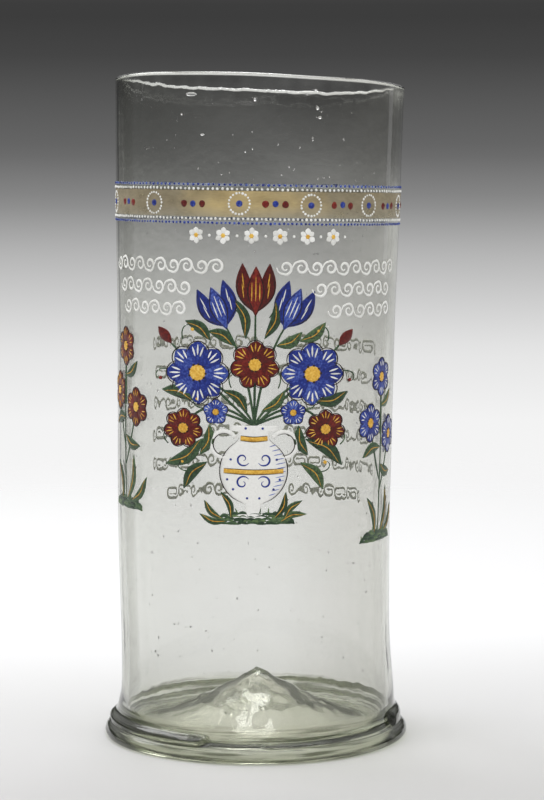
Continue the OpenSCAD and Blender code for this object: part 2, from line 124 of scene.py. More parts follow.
def smoothLine(points, count):
    # a curve through given points, evenly sampled along its length
    pts = np.array(points, float)
    ends = np.vstack([2 * pts[0] - pts[1], pts, 2 * pts[-1] - pts[-2]])
    fine = []
    for i in range(len(pts) - 1):
        a, b, c, d = ends[i:i + 4]
        for t in np.linspace(0, 1, 16, endpoint=False):
            fine.append(b + 0.5 * t * (c - a + t * (2 * a - 5 * b + 4 * c - d + t * (3 * (b - c) + d - a))))
    fine = np.array(fine + [pts[-1]])
    run = np.concatenate([[0], np.cumsum(np.linalg.norm(np.diff(fine, axis=0), axis=1))])
    even = np.linspace(0, run[-1], count)
    return np.column_stack([np.interp(even, run, fine[:, k]) for k in range(pts.shape[1])])


# shader nodes: a wire is a socket that can be reckoned with

class Wire:
    def __init__(self, tree, socket=None):
        self.tree = tree
        self.socket = socket

    def node(self, kind, sockets=None, settings=None, out=0):
        made = self.tree.nodes.new("ShaderNode" + kind)
        for key, value in (settings or {}).items():
            if key == "stops":
                ramp = made.color_ramp
                while len(ramp.elements) < len(value):
                    ramp.elements.new(1.0)
                for element, (place, shade) in zip(ramp.elements, value):
                    element.position = place
                    element.color = shade
            else:
                setattr(made, key, value)
        for key, value in (sockets or {}).items():
            if isinstance(value, Wire):
                self.tree.links.new(value.socket, made.inputs[key])
            else:
                made.inputs[key].default_value = value
        return Wire(self.tree, made.outputs[out])

    def maths(self, operation, a, b):
        return self.node("Math", {0: a, 1: b}, {"operation": operation})

    def __add__(self, other):
        return self.maths("ADD", self, other)

    def __sub__(self, other):
        return self.maths("SUBTRACT", self, other)

    def __rsub__(self, other):
        return self.maths("SUBTRACT", other, self)

    def __mul__(self, other):
        return self.maths("MULTIPLY", self, other)

    def within(self, low, high):
        return self.node("MapRange", {"Value": self, "From Min": low, "From Max": high}, {"clamp": True})

    def blend(self, first, second):
        # this wire picks between two colours
        kind = {"data_type": "RGBA", "clamp_factor": True}
        return self.node("Mix", {"Factor": self, 6: first, 7: second}, kind, 2)

    def between(self, first, second):
        # and here between two shaders
        return self.node("MixShader", {0: self, 1: first, 2: second})

    def place(self):
        return self.node("TexCoord", out="Object")

    def distance(self, point):
        return self.node("VectorMath", {0: self, 1: point}, {"operation": "DISTANCE"}, "Value")

    def axis(self, name):
        return self.node("SeparateXYZ", {"Vector": self}, out=name)

    def speckle(self, scale, detail=2.0, stretch=(1, 1, 1)):
        # noise on the object's own place, in patches of about 1 / scale metres
        turned = self.node("Mapping", {"Vector": self.place(), "Scale": stretch})
        return self.node("TexNoise", {"Vector": turned, "Scale": scale, "Detail": detail})

    def attribute(self, name):
        return self.node("Attribute", None, {"attribute_name": name}, "Fac")

    def output(self, surface, volume=None):
        end = self.tree.nodes.new("ShaderNodeOutputMaterial")
        self.tree.links.new(surface.socket, end.inputs["Surface"])
        if volume is not None:
            self.tree.links.new(volume.socket, end.inputs["Volume"])


def newMaterial(name):
    material = bpy.data.materials.new(name)
    material.use_nodes = True
    material.node_tree.nodes.clear()
    return material, Wire(material.node_tree)


def colour(red, green, blue):
    # a colour as seen on screen, 0 to 255, made linear
    parts = [part / 255 for part in (red, green, blue)]
    linear = [p / 12.92 if p <= 0.04045 else ((p + 0.055) / 1.055) ** 2.4 for p in parts]
    return (*linear, 1.0)


# camera at the photograph's viewing angle

cameraSetting = {
    "place": (0.0075, -1.100, 0.250),
    "down": 5.12,  # degrees
    "lens": 110.2,
    "sensor": 36.0,
    "nearest": 0.01,
}


def makeCamera():
    c = cameraSetting
    bpy.ops.object.camera_add(location=c["place"], rotation=(radians(90 - c["down"]), 0, 0))
    camera = bpy.context.active_object
    camera.data.lens = c["lens"]
    camera.data.sensor_width = c["sensor"]
    camera.data.clip_start = c["nearest"]
    bpy.context.scene.camera = camera


makeCamera()
print("camera set")


# stage: a pale floor that fades into a backdrop, grey above and white below

worldSetting = {
    "stops": [  # sine of the viewing ray's height, and the backdrop's level there
        (-0.170, 251), (-0.097, 243), (-0.069, 229), (-0.028, 178), (-0.008, 136), (0.012, 103),
        (0.050, 69), (0.069, 59), (0.110, 100), (0.200, 170), (0.350, 200), (0.700, 230),
    ],
    "span": (-0.3, 1.0),
    "ceiling": (0.45, 0.75),  # heights over which the glow above the backdrop comes up
    "ceilingGlow": 0.5,
    "overhead": (0.84, 0.9),
    "overheadGlow": 2.0,
    "ambient": 0.62,
}
floorSetting = {
    "radius": 3.0, "corners": 96, "full": 0.35, "gone": 1.1,
    "near": (207, 206, 206), "far": (242, 242, 243), "nearAt": -0.14, "farAt": 0.24,
}


def makeWorld():
    w = worldSetting
    world = bpy.data.worlds.new("studio")
    bpy.context.scene.world = world
    world.use_nodes = True
    tree = world.node_tree
    tree.nodes.clear()
    start = Wire(tree)
    height = start.node("TexCoord", out="Generated").axis("Z")
    low, high = w["span"]
    stops = [((sine - low) / (high - low), colour(level, level, level)) for sine, level in w["stops"]]
    backdrop = start.node("ValToRGB", {"Fac": height.within(low, high)}, {"stops": stops})
    ceiling = height.within(*w["ceiling"]) * w["ceilingGlow"]
    overhead = height.within(*w["overhead"]) * w["overheadGlow"]
    camera, glossy, through = [
        start.node("LightPath", out="Is " + kind + " Ray") for kind in ("Camera", "Glossy", "Transmission")
    ]
    seen = camera + glossy + through
    ambient = start.node("Background", {"Color": (1, 1, 1, 1), "Strength": w["ambient"]})
    shown = start.node("Background", {"Color": backdrop, "Strength": ceiling + overhead + 1.0})
    mixed = seen.within(0, 1).between(ambient, shown)
    end = tree.nodes.new("ShaderNodeOutputWorld")
    tree.links.new(mixed.socket, end.inputs["Surface"])


def makeFloor():
    f = floorSetting
    bpy.ops.mesh.primitive_circle_add(vertices=f["corners"], radius=f["radius"], fill_type="NGON")
    floor = bpy.context.active_object
    floor.name = "floor"
    material, start = newMaterial("paleFloor")
    place = start.place()
    away = place.distance((0, 0, 0))
    fade = 1 - away.within(f["full"], f["gone"])
    # painted shade: the floor is coloured darker towards the front and lighter behind
    shade = place.axis("Y").within(f["nearAt"], f["farAt"]).blend(colour(*f["near"]), colour(*f["far"]))
    paper = start.node("BsdfDiffuse", {"Color": shade})
    clear = start.node("BsdfTransparent")
    start.output(fade.between(clear, paper))
    floor.data.materials.append(material)


softBoxes = [  # name, place, aim, size, power, whether it is mirrored, and whether seen through the glass
    ("topBox", (-0.9, 0.6, 1.15), (0, 0, 0.1), (0.8, 0.8), 7.0, True, True),
    ("backBox", (-0.02, 0.72, 1.45), (0, 0, 0.02), (0.45, 0.32), 5.0, True, True),
    ("frontStrip", (0.1, -0.9, 1.5), (0, 0, 0.05), (0.9, 0.08), 1.2, True, False),
    ("leftBox", (-1.1, -0.9, 0.8), (0, 0, 0.17), (0.7, 1.1), 6.0, False, False),
    ("rightBox", (1.1, -0.9, 0.6), (0, 0, 0.17), (0.7, 1.1), 5.0, False, False),
    ("edgeStrip", (0.97, 0.70, 0.27), (0, 0, 0.26), (0.15, 0.30), 0.06, True, False),
]


def makeLights():
    for name, place, target, size, power, mirrored, seen in softBoxes:
        bpy.ops.object.light_add(type="AREA", location=place)
        lamp = bpy.context.active_object
        lamp.name = name
        lamp.data.shape = "RECTANGLE"
        lamp.data.size, lamp.data.size_y = size
        lamp.data.energy = power
        lamp.visible_glossy = mirrored
        lamp.visible_transmission = seen
        lamp.rotation_euler = (Vector(target) - Vector(place)).to_track_quat("-Z", "Y").to_euler()


makeWorld()
makeFloor()
makeLights()
bpy.context.scene.view_settings.view_transform = "Standard"
print("stage and lights set")


# the vessel's wall, shared by the glass and by all that is painted on it; sizes in mm

vesselLow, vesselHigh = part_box("vessel")
glassShape = {
    "height": vesselHigh.z / mm,
    "rimRadius": vesselHigh.x / mm,
    "waistRadius": 60.9,
    "waistHeight": 50.0,
    "baseRadius": 62.6,
    "heelHeight": 12.0,
    "wall": 3.0,
    "baseLift": vesselLow.z / mm,
    "baseThickness": 4.0,
    "kickRadius": 54.0,
    "kickHeight": 30.0,
    "kickPower": 1.3,
    "segments": 300,
    "tilt": 0.0165,  # how far the rim and the band slope down to the right
    "tiltOver": (40, 230),  # heights over which that slope comes in
    "rimOver": (255, 292),  # and those over which the rim turns uneven
    "rimWave": 0.2,
    "rimSkew": (1.1, 1.15),  # how far the rim rises in front, and hangs on the right
    "innerWave": 0.11,
    "innerFrom": (16, 50),  # height and radius from which a place is on the inner wall
    "innerOver": (16, 40, 286, 293),  # heights over which its waves come in, and go
    "striae": 0.012,
    "dent": 0.35,
    "dentOver": (18, 40),  # radii over which the kick's dents fade
    "dentWithin": (50, 32),  # radius and height
}


# the glass was blown by eye: how far its wall swells and its axis strays at some heights
bendSamples = 600
swellLine = smoothLine([
    (0, 0), (50, 0), (120, -0.25), (185, -0.6), (230, -0.2), (300, -0.1),
], bendSamples)
strayLine = smoothLine([
    (0, 0), (14, 0.35), (23, 0.9), (50, -0.1), (97, -0.68), (150, -0.02), (200, 0.6), (300, 2.27),
], bendSamples)


def byHeight(line, z):
    return np.interp(z, line[:, 0], line[:, 1])


def settled(r, turn, z):
    # a place on the glass as it stands: strayed and tilted
    x = r * np.sin(turn)
    slope = glassShape["tilt"] * smoothStep(*glassShape["tiltOver"], z)
    return np.column_stack([x + byHeight(strayLine, z), -r * np.cos(turn), z - slope * x]) * mm


def wallRadius(z):
    g = glassShape
    z = np.asarray(z, float)
    waist, waistZ = g["waistRadius"], g["waistHeight"]
    up = waist + (g["rimRadius"] - waist) * (z - waistZ) / (g["height"] - waistZ)
    low = waist + (g["baseRadius"] - waist) * ((waistZ - z) / (waistZ - g["heelHeight"])) ** 2
    return np.where(z > waistZ, up, low) + byHeight(swellLine, z)


# the foot: a ring with a thinner turn of trail on it, which ends in a blob at the front left
footShape = {
    "inside": [  # radius and height, from the kick's edge to the ground
        (54.0, 1.2), (56.4, 1.5), (58.3, 2.3), (59.2, 2.7), (59.9, 2.3), (60.3, 1.2), (61.0, 0.25),
        (62.2, 0.0),
    ],
    "flat": (62.6, 65.9),
    "withTrail": [  # radius and height, from the ground up to the wall
        (65.9, 0.0), (67.7, 0.5), (68.6, 1.7), (68.6, 3.1), (68.0, 4.6), (67.0, 5.8), (66.0, 6.4),
        (65.7, 6.75), (66.0, 7.5), (66.2, 8.5), (66.0, 9.5), (65.3, 10.5), (64.4, 11.2), (63.5, 11.9),
        (62.9, 13.0), (62.6, 15.0),
    ],
    "withoutTrail": [  # height and radius
        (6.0, 66.9), (6.6, 65.7), (7.1, 64.5), (7.7, 63.4), (8.5, 62.85), (9.6, 62.65), (11.0, 62.62),
        (15.0, 62.6),
    ],
    "trailOver": (6.0, 15.0),  # heights between which the turn lies
    "trailInside": 61.5,
    "trailCrest": 11.0,
    "ringOver": (0.05, 6.4),
    "ringInside": 64,
    "trailFrom": (-8.0, 38.0),  # degrees over which the turn rises out of the ring
    "trailEnd": -18.5,
    "endRound": 6.0,
    "blob": 0.45,
    "blobReach": 9.0,
    "blobAt": (8.6, 2.4),  # its height, and how far it reaches up and down
    "trailLift": (0.05, 0.23),  # how much taller the turn is all round, and on the right
}
profileSteps = {"kick": 30, "inside": 16, "flat": 5, "foot": 46, "wall": 50, "rim": 13, "heel": 14}


def arc(middle, across, up, first, last, count):
    turns = np.radians(np.linspace(first, last, count))
    return [(middle[0] + across * cos(turn), middle[1] + up * sin(turn)) for turn in turns]


def glassProfile():
    g = glassShape
    f = footShape
    n = profileSteps
    half = g["wall"] / 2

    def kick(r):
        rise = g["kickHeight"] - g["baseLift"] - g["baseThickness"]
        return rise * (1 - r / g["kickRadius"]) ** g["kickPower"]

    radii = g["kickRadius"] * np.linspace(0, 1, n["kick"]) ** 1.2  # closer together at the tip
    under = [(r, g["baseLift"] + kick(r)) for r in radii]
    inside = smoothLine(f["inside"], n["inside"])[1:]
    flat = [(r, 0.0) for r in np.linspace(*f["flat"], n["flat"])][:-1]
    foot = smoothLine(f["withTrail"], n["foot"])
    rimCentre = g["height"] - half
    levels = np.linspace(f["trailOver"][1], rimCentre - 4, n["wall"])[1:]
    levels = np.concatenate([levels, rimCentre - np.array([2.4, 1.3, 0.6, 0.2])])
    outer = [(wallRadius(z), z) for z in levels]
    rim = arc((wallRadius(rimCentre) - half, rimCentre), half, half, 0, 180, n["rim"])
    innerFoot = g["heelHeight"] + g["wall"]
    inner = [(wallRadius(z) - g["wall"], z) for z in levels[::-1] if z > innerFoot + 2]
    floorZ = g["baseLift"] + g["baseThickness"]
    reach = wallRadius(innerFoot) - g["wall"] - g["kickRadius"]
    heel = arc((g["kickRadius"], innerFoot), reach, innerFoot - floorZ, 0, -90, n["heel"])
    top = [(r, floorZ + kick(r)) for r in radii[::-1][1:]]
    footing = [tuple(point) for point in inside] + flat + [tuple(point) for point in foot]
    return np.array(under + footing + outer + rim + inner + heel + top)


def spinProfile(profile, name, steps):
    # a line of vertices, drawn by extruding a point, then spun round the axis
    begin(bpy.ops.mesh.primitive_plane_add, size=mm)
    bpy.context.active_object.name = name
    bpy.ops.mesh.merge(type="CENTER")
    line = [(r * mm, 0.0, z * mm) for r, z in profile]
    bpy.ops.transform.translate(value=line[0])
    for here, there in zip(line, line[1:]):
        step = tuple(b - a for a, b in zip(here, there))
        bpy.ops.mesh.extrude_region_move(TRANSFORM_OT_translate={"value": step})
    bpy.ops.mesh.select_all(action="SELECT")
    bpy.ops.mesh.spin(steps=steps, angle=2 * pi, center=(0, 0, 0), axis=(0, 0, 1))
    bpy.ops.mesh.select_all(action="SELECT")
    bpy.ops.mesh.remove_doubles(threshold=mm / 100)
    return closeShape()


def frontAngle(points):
    # degrees from the front, rising towards +X
    return np.degrees(np.arctan2(points[:, 0], -points[:, 1]))


def anyPhase():
    return roll(0, 6.3)


def layTrail(r, z, angle):
    # the upper turn of the trail comes and goes round the foot
    f = footShape
    turn = np.radians(angle)
    bottom, top = f["trailOver"]
    start, full = f["trailFrom"]
    blobZ, blobTall = f["blobAt"]
    noTrailZ, noTrailR = np.array(f["withoutTrail"]).T
    low = np.interp(z, noTrailZ, noTrailR)
    isTrail = (z > bottom) & (z < top) & (r > f["trailInside"])
    rise = smoothStep(0, full - start, np.mod(angle - start, 360))
    left = np.mod(f["trailEnd"] - angle, 360)
    left = np.where(left > 180, left - 360, left)
    ending = np.sqrt(np.clip(left / f["endRound"], 0, 1))
    stay = np.where(np.abs(left) < 90, ending, 1.0) * np.where(np.abs(left) < 60, 1.0, rise)
    blob = np.exp(-((left - f["endRound"]) / f["blobReach"]) ** 2) * np.exp(-((z - blobZ) / blobTall) ** 2)
    wobble = 1 + 0.08 * np.sin(3 * turn + 0.7) + 0.05 * np.sin(7 * turn)
    out = (np.maximum(r, low) - low) * stay * (1 + f["blob"] * blob) * wobble
    r = np.where(isTrail, low + out, r)
    even, right = f["trailLift"]
    lift = (even + right * np.sin(turn)) * (z - bottom) * (1 - smoothStep(f["trailCrest"], top, z))
    z = np.where(isTrail, z + lift, z)
    ringLow, ringHigh = f["ringOver"]
    isRing = (z > ringLow) & (z < ringHigh) & (r > f["ringInside"])
    r = r + np.where(isRing, 0.18 * np.sin(2 * turn + 1) + 0.12 * np.sin(5 * turn), 0)
    return r, z


def innerWaves(r, z, turn):
    # the inner wall is wavy, and drawn out in faint upright streaks
    g = glassShape
    lowest, nearest = g["innerFrom"]
    inner = (r < wallRadius(z) - g["wall"] / 2) & (z > lowest) & (r > nearest)
    wave = np.zeros_like(r)
    for k in range(1, 7):
        for reach in (70.0, 130.0, 240.0):
            phase = anyPhase()
            wave += np.sin(k * turn + phase + 2 * pi * z / reach * dice.choice((-1, 1))) / 6
    streak = np.zeros_like(r)
    for k in range(18, 60, 5):
        phase = anyPhase()
        streak += np.sin(k * turn + phase + z / roll(60, 200))
    low, lowFull, highFull, high = g["innerOver"]
    there = smoothStep(low, lowFull, z) * (1 - smoothStep(highFull, high, z))
    return np.where(inner, there * (g["innerWave"] * wave + g["striae"] * streak), 0)


def rimLift(z, turn):
    # the rim is a little uneven
    g = glassShape
    front, right = g["rimSkew"]
    lift = front * np.cos(turn) - right * np.sin(turn)
    for k in range(2, 8):
        lift = lift + g["rimWave"] * np.sin(k * turn + anyPhase()) / 2.5
    return smoothStep(*g["rimOver"], z) * lift


def kickDents(r, z, turn):
    # the kick was pushed in by hand and broken from the iron: dents round its tip
    dent = np.zeros_like(r)
    for k in range(2, 9):
        phase = anyPhase()
        dent += np.sin(k * turn + phase + r / roll(3.5, 9)) * roll(0.3, 1) / k
    g = glassShape
    dent = g["dent"] * dent * smoothStep(0, 6, r) * (1 - smoothStep(*g["dentOver"], r))
    widest, highest = g["dentWithin"]
    return np.where((r < widest) & (z < highest), dent, 0)


def unevenGlass(obj):
    p = readPoints(obj) / mm
    angle = frontAngle(p)
    turn = np.radians(angle)
    r, z = layTrail(np.hypot(p[:, 0], p[:, 1]), p[:, 2], angle)
    r = r + innerWaves(r, z, turn)
    z = z + rimLift(z, turn)
    z = z + kickDents(r, z, turn)
    writePoints(obj, settled(r, turn, z))


# seeds and blisters in the wall: the larger ones by their place in the photograph's front wall
seedSetting = {
    "blisters": [  # degrees from the front, height, half width, half height, half depth
        (-27.0, 286.0, 2.7, 0.9, 0.18), (-1.5, 284.0, 0.8, 0.9, 0.5), (23.0, 281.0, 0.9, 0.9, 0.5),
        (24.0, 277.0, 1.1, 0.7, 0.4), (-22.0, 269.0, 1.3, 0.45, 0.4), (-31.0, 277.5, 0.7, 0.4, 0.4),
        (-5.0, 262.0, 0.4, 0.4, 0.35), (35.0, 268.0, 0.5, 0.6, 0.4), (12.0, 256.0, 0.35, 0.5, 0.3),
        (18.5, 286.5, 0.8, 0.4, 0.3), (22.0, 288.5, 0.9, 0.45, 0.3), (21.5, 268.0, 0.4, 1.0, 0.3),
        (-15.0, 71.0, 0.25, 0.25, 0.2), (30.0, 62.0, 0.2, 0.6, 0.2), (-33.0, 44.0, 0.25, 0.25, 0.2),
    ],
    "blisterMesh": (20, 10),  # segments and rings
    "seedMesh": (8, 5),
    "count": 480,
    "small": (0.14, 0.36),
    "tallest": 2.2,
    "over": (24, 288),
    "stray": 0.5,  # to either side of the middle of the wall
}


def makeHollow(segments, rings):
    begin(bpy.ops.mesh.primitive_uv_sphere_add, segments=segments, ring_count=rings, radius=1.0)
    bpy.ops.mesh.flip_normals()  # a hollow in the glass faces inwards
    return stopEditing()


def copyHollow(hollow, angle, z, wide, tall, deep):
    copy = copyOf(hollow)
    shape = readPoints(hollow)
    stray = seedSetting["stray"]
    depth = wallRadius(z) - glassShape["wall"] / 2 + roll(-stray, stray)
    turn = radians(angle) + shape[:, 0] * wide / depth
    writePoints(copy, settled(depth + shape[:, 1] * deep, turn, z + shape[:, 2] * tall))
    return copy


def makeSeeds():
    s = seedSetting
    blister = makeHollow(*s["blisterMesh"])
    seed = makeHollow(*s["seedMesh"])
    made = [copyHollow(blister, *place) for place in s["blisters"]]
    for i in range(s["count"]):
        size = roll(*s["small"])
        angle = roll(-180, 180)
        z = roll(*s["over"])
        made.append(copyHollow(seed, angle, z, size, size * roll(1, s["tallest"]), size))
    bpy.data.objects.remove(blister)
    bpy.data.objects.remove(seed)
    return made


glassLook = {
    # edge and right hold painted shade: the glass darker where seen edge-on, and towards its right side
    "clear": (0.925, 0.921, 0.927, 1), "edge": (0.48, 0.48, 0.45, 1), "right": (0.85, 0.84, 0.835, 1),
    "kick": (0.97, 0.95, 0.92, 1), "thick": (0.96, 0.95, 0.91, 1),
    "cords": ((0.10, 0.11, 0.07, 1), (0.99, 0.98, 0.95, 1)),
    "cloud": (186, 190, 168),
    "faintShade": (0.94, 0.94, 0.935, 1), "strongShade": (0.72, 0.73, 0.69, 1),
    "inside": (0.64, 0.67, 0.56, 1), "density": 88.0,
    "dents": 75.0, "streaks": 9.0,
}


def glassMaterial():
    g = glassLook
    material, start = newMaterial("paleGreenGlass")
    ripple = start.speckle(22.0, 2.0) * 0.8 + start.speckle(160.0, 3.0) * 0.2
    place = start.place()
    height = place.axis("Z")
    across = place.axis("X")
    away = start.node("VectorMath", {0: place, 1: (1, 1, 0)}, {"operation": "MULTIPLY"}).distance((0, 0, 0))
    # the parts of the glass, by height and by distance from the axis
    wall = height.within(0.012, 0.016)
    low = 1 - height.within(0.031, 0.035)
    kick = (1 - away.within(0.040, 0.056)) * low
    pushed = (1 - away.within(0.024, 0.044)) * low
    thick = (1 - wall) * away.within(0.050, 0.058)
    ring = (1 - wall) * away.within(0.0600, 0.0625)
    dents = start.speckle(34.0, 1.0, (1, 0.5, 1)) * 0.5 + start.speckle(95.0, 1.0, (1, 0.6, 1)) * 0.5
    # streaks that run round the foot with the trail
    along = start.node("CombineXYZ", {0: away, 1: across * 0.06, 2: height})
    streak = start.node("TexNoise", {"Vector": along, "Scale": 520.0, "Detail": 2.0})
    bump = start.node("Bump", {
        "Strength": 0.06, "Distance": 0.002,
        "Height": ripple + dents * pushed * g["dents"] + streak * ring * g["streaks"],
    })
    # painted shade: the glass's colour darkens where the wall is seen edge-on
    paintedEdgeShade = start.node("LayerWeight", {"Blend": 0.5}, out="Facing").within(0.56, 0.74) * wall
    tint = paintedEdgeShade.blend(g["clear"], g["edge"])
    # painted shade: the glass is coloured greyer towards its right side
    tint = across.within(0.01, 0.063).blend(tint, g["right"])
    tint = kick.blend(tint, g["kick"])
    tint = thick.blend(tint, g["thick"])
    tint = ring.blend(tint, streak.within(0.38, 0.54).blend(*g["cords"]))
    surface = start.node("BsdfPrincipled", {
        "Base Color": tint, "Roughness": kick * 0.02 + 0.012, "IOR": 1.5, "Transmission Weight": 1.0,
        "Normal": bump,
    })
    # where the glass is thick it is cloudy too, and it casts a faint shade
    cloud = start.node("BsdfDiffuse", {"Color": colour(*g["cloud"])})
    surface = (thick * 0.02 + kick * 0.07).between(surface, cloud)
    faint = start.node("BsdfTransparent", {"Color": g["faintShade"]})
    strong = start.node("BsdfTransparent", {"Color": g["strongShade"]})
    shade = thick.between(faint, strong)
    shade = kick.between(shade, start.node("BsdfTransparent"))
    passing = start.node("LightPath", out="Is Shadow Ray")
    surface = passing.between(surface, shade)
    volume = start.node("VolumeAbsorption", {"Color": g["inside"], "Density": g["density"]})
    start.output(surface, volume)
    return material


def makeGlass():
    body = spinProfile(glassProfile(), "glass_body", glassShape["segments"])
    unevenGlass(body)
    whole = joinAll([body] + makeSeeds(), "glass_body")
    finishPiece(whole, glassMaterial(), "glass", "vessel", "foot_ring", "foot_trail")
    print("glass blown,", len(whole.data.polygons), "faces")


makeGlass()


# painted work lies on the wall, in drawings in mm with x to the right and y up, hung at an angle round it

paintBite = 0.04  # how far paint reaches into the glass, so that no two faces coincide
underBelow = 0.02  # what lies lower than this in a unit is its underside
strokeSamples = 81
layers = {}  # strokes and dabs waiting to be made up into pieces, by layer


def layOnWall(layer, unit, place, x, y, out, tone):
    angle, height = place
    z = height + y
    r = wallRadius(z)
    turn = radians(angle) + np.arcsin(np.clip(x / r, -0.99, 0.99))
    layers.setdefault(layer, []).append((unit, settled(r + out, turn, z), tone))


def makeDabUnit():
    cut = 0.05  # a little over half of a ball is cut away
    begin(bpy.ops.mesh.primitive_uv_sphere_add, segments=10, ring_count=8, radius=1.0)
    bpy.ops.mesh.bisect(plane_co=(0, 0, cut), plane_no=(0, 0, 1), use_fill=True, clear_inner=True)
    bpy.ops.mesh.select_all(action="SELECT")
    bpy.ops.transform.translate(value=(0, 0, -cut))
    return closeShape()


def makeStrokeUnit(along, across):
    begin(bpy.ops.mesh.primitive_grid_add, x_subdivisions=along, y_subdivisions=across, size=2)
    bpy.ops.mesh.extrude_region_move(TRANSFORM_OT_translate={"value": (0, 0, 1)})
    return closeShape()


paintUnits = {
    "dab": makeDabUnit(),
    "line": makeStrokeUnit(8, 2),
    "long": makeStrokeUnit(30, 2),
    "petal": makeStrokeUnit(12, 6),
    "vase": makeStrokeUnit(90, 10),
}
unitShapes = {}
for unitName, unitObj in paintUnits.items():
    unitShapes[unitName] = readPoints(unitObj)
    under = unitObj.data.attributes.new("under", "FLOAT", "POINT")
    under.data.foreach_set("value", (unitShapes[unitName][:, 2] < underBelow).astype(np.float32))
    unitObj.data.attributes.new("tone", "FLOAT", "POINT")


def addDab(layer, place, at, wide, tall, high, tone=0.0, lift=0.0, point=0.0):
    shape = unitShapes["dab"]
    x = at[0] + shape[:, 0] * wide / 2 * (1 - point * shape[:, 1])
    y = at[1] + shape[:, 1] * tall / 2
    out = np.where(shape[:, 2] < underBelow, -paintBite, lift + high * shape[:, 2])
    layOnWall(layer, "dab", place, x, y, out, tone)


def addStroke(layer, place, spine, widths, thick=0.3, lift=0.0, tone=0.0, unit="line"):
    shape = unitShapes[unit]
    along, across = (shape[:, 0] + 1) / 2, shape[:, 1]
    line = smoothLine(spine, strokeSamples)
    run = np.linspace(0, 1, strokeSamples)
    way = np.gradient(line, axis=0)
    way = way / np.linalg.norm(way, axis=1)[:, None]
    wide = np.interp(along, np.linspace(0, 1, len(widths)), widths) * across / 2
    x = np.interp(along, run, line[:, 0]) - np.interp(along, run, way[:, 1]) * wide
    y = np.interp(along, run, line[:, 1]) + np.interp(along, run, way[:, 0]) * wide
    pillow = 0.35 + 0.65 * np.sqrt(np.clip(1 - across ** 2, 0, 1))
    ends = 0.4 + 0.6 * np.sin(np.pi * along) ** 0.4
    out = np.where(shape[:, 2] < 0.5, -paintBite, lift + thick * pillow * ends)
    layOnWall(layer, unit, place, x, y, out, tone)


petalWidths = [0.28, 0.42, 0.62, 0.82, 0.96, 1.0, 0.95, 0.8, 0.52, 0.12]
lensWidths = [max(0.06, 1 - (2 * t - 1) ** 2) for t in np.linspace(0, 1, 11)]
lineWidths = [0.25, 0.8, 1.0, 0.95, 0.7, 0.2]


def scaled(widths, size):
    return [w * size for w in widths]


def polar(at, length, way):
    turn = radians(way)
    return (at[0] + length * cos(turn), at[1] + length * sin(turn))


def addLine(layer, place, spine, wide, thick, lift, tone=0.0, unit="line"):
    addStroke(layer, place, spine, scaled(lineWidths, wide), thick, lift, tone, unit)


def makeUpLayer(layer, shade, name=None, replacing=True):
    # a layer has the name of the node that it replaces
    name = name or layer.replace("_", "-")
    made = []
    for unit, points, tone in layers.pop(layer):
        copy = copyOf(paintUnits[unit])
        writePoints(copy, points)
        copy.data.attributes["tone"].data.foreach_set("value", np.full(len(points), tone, np.float32))
        made.append(copy)
    piece = joinAll(made, name)
    startEditing(piece)
    closeShape()
    slot = "red_enamel" if shade == "dark" else shade + "_enamel"
    finishPiece(piece, enamels[shade], slot, *([layer] if replacing else []))
    print(name, "painted,", len(made), "strokes,", len(piece.data.polygons), "faces")


def enamel(name, dark, middle, light, underneath, mottle=1.1, rough=0.24):
    material, start = newMaterial(name)
    patches = start.speckle(1100.0, 3.0)
    level = start.attribute("tone") * 0.5 + (patches - 0.5) * mottle + 0.5
    stops = [(0.0, colour(*dark)), (0.5, colour(*middle)), (1.0, colour(*light))]
    seen = start.node("ValToRGB", {"Fac": level.within(0, 1)}, {"stops": stops})
    # the underside, seen only through the glass, gets its own greyed colour; for white and yellow paint it
    # is darker, painted shade
    shade = start.attribute("under").blend(seen, colour(*underneath))
    pits = start.speckle(2600.0, 2.0)
    bump = start.node("Bump", {"Strength": 0.25, "Distance": 0.0002, "Height": pits})
    surface = start.node("BsdfPrincipled", {
        "Base Color": shade, "Roughness": patches * 0.3 + rough, "IOR": 1.42, "Normal": bump,
    })
    start.output(surface)
    return material


# the last colour of each is the underside's; for white and yellow it holds painted shade
enamels = {
    "white": enamel("whiteEnamel", (190, 189, 182), (232, 232, 228), (250, 250, 248), (184, 184, 172), 0.4),
    "blue": enamel("blueEnamel", (10, 16, 62), (24, 44, 130), (100, 124, 200), (70, 84, 140)),
    "red": enamel("redEnamel", (42, 6, 4), (88, 15, 10), (146, 42, 28), (120, 66, 52)),
    "dark": enamel("darkEnamel", (14, 10, 10), (30, 20, 18), (60, 40, 34), (60, 50, 46)),
    "green": enamel("greenEnamel", (20, 36, 24), (50, 76, 50), (104, 126, 80), (96, 110, 84)),
    "yellow": enamel("yellowEnamel", (150, 92, 22), (218, 168, 60), (248, 218, 120), (164, 140, 86)),
}
print("paints mixed")


# the gilded band: a worn skin of gold, edged by pearls, with medallions and drops along it

bandLow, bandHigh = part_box("gilt_band")
bandShape = {
    "low": bandLow.z / mm,
    "high": bandHigh.z / mm,
    "thick": 0.05,
    "wash": (0.55, 0.02),  # half its width, and how far it lies to either side of the wall
    "segments": 360,
    "whiteOffset": 6.3,
    "blueOffset": 8.1,
    "rows": [("white_pearls_upper", "white", 1, 187), ("white_pearls_lower", "white", -1, 203),
             ("blue_pearls_upper", "blue", 1, 170), ("blue_pearls_lower", "blue", -1, 209)],
    "whitePearl": (1.2, 0.42),
    "bluePearl": (1.15, 0.34),
    "medallions": [-80, -44, -7, 21, 49, 77, 111, 145, 178, 212, 246],
    "ring": (4.5, 20, 1.12, 0.38),
    "eye": (3.0, 0.55),
    "redDrop": (3.3, 0.5),
    "blueDrop": (2.8, 0.5),
    "dropStep": 4.4,
    "golden": (-0.004, -0.0636, 0.240),  # about here the gilding is painted brightest, a painted sheen
}
bandMiddle = (bandShape["low"] + bandShape["high"]) / 2


